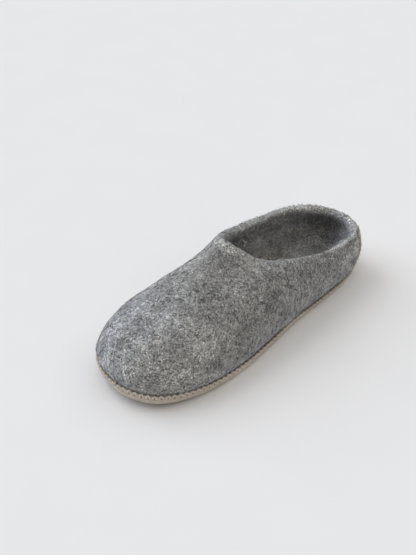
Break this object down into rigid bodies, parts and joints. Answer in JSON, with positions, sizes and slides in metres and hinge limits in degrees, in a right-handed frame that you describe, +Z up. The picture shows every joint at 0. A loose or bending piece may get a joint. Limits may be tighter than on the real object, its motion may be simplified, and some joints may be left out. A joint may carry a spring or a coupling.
{
  "type": "house slipper",
  "caption": "Closed-toe house slipper of thick felt with a low open collar, a felt footbed, a cupped suede outsole with a raised lip, and a suede patch round the heel.",
  "frame": {"origin": "on the floor, under the middle of the whole slipper's box", "axes": "+Z up, +Y from toe to heel along the slipper's length, +X towards the outer (lateral) side of the left foot"},
  "size_m": [0.103, 0.2734, 0.0756],
  "materials": {
    "felt": "mottled grey wool felt",
    "suede": "beige suede",
    "footbed_felt": "dark grey wool felt",
    "patch_suede": "beige suede"
  },
  "bodies": {
    "root": {"upper": "felt", "outsole": "suede", "insole": "footbed_felt", "heel_patch": "patch_suede"}
  },
  "joints": []
}
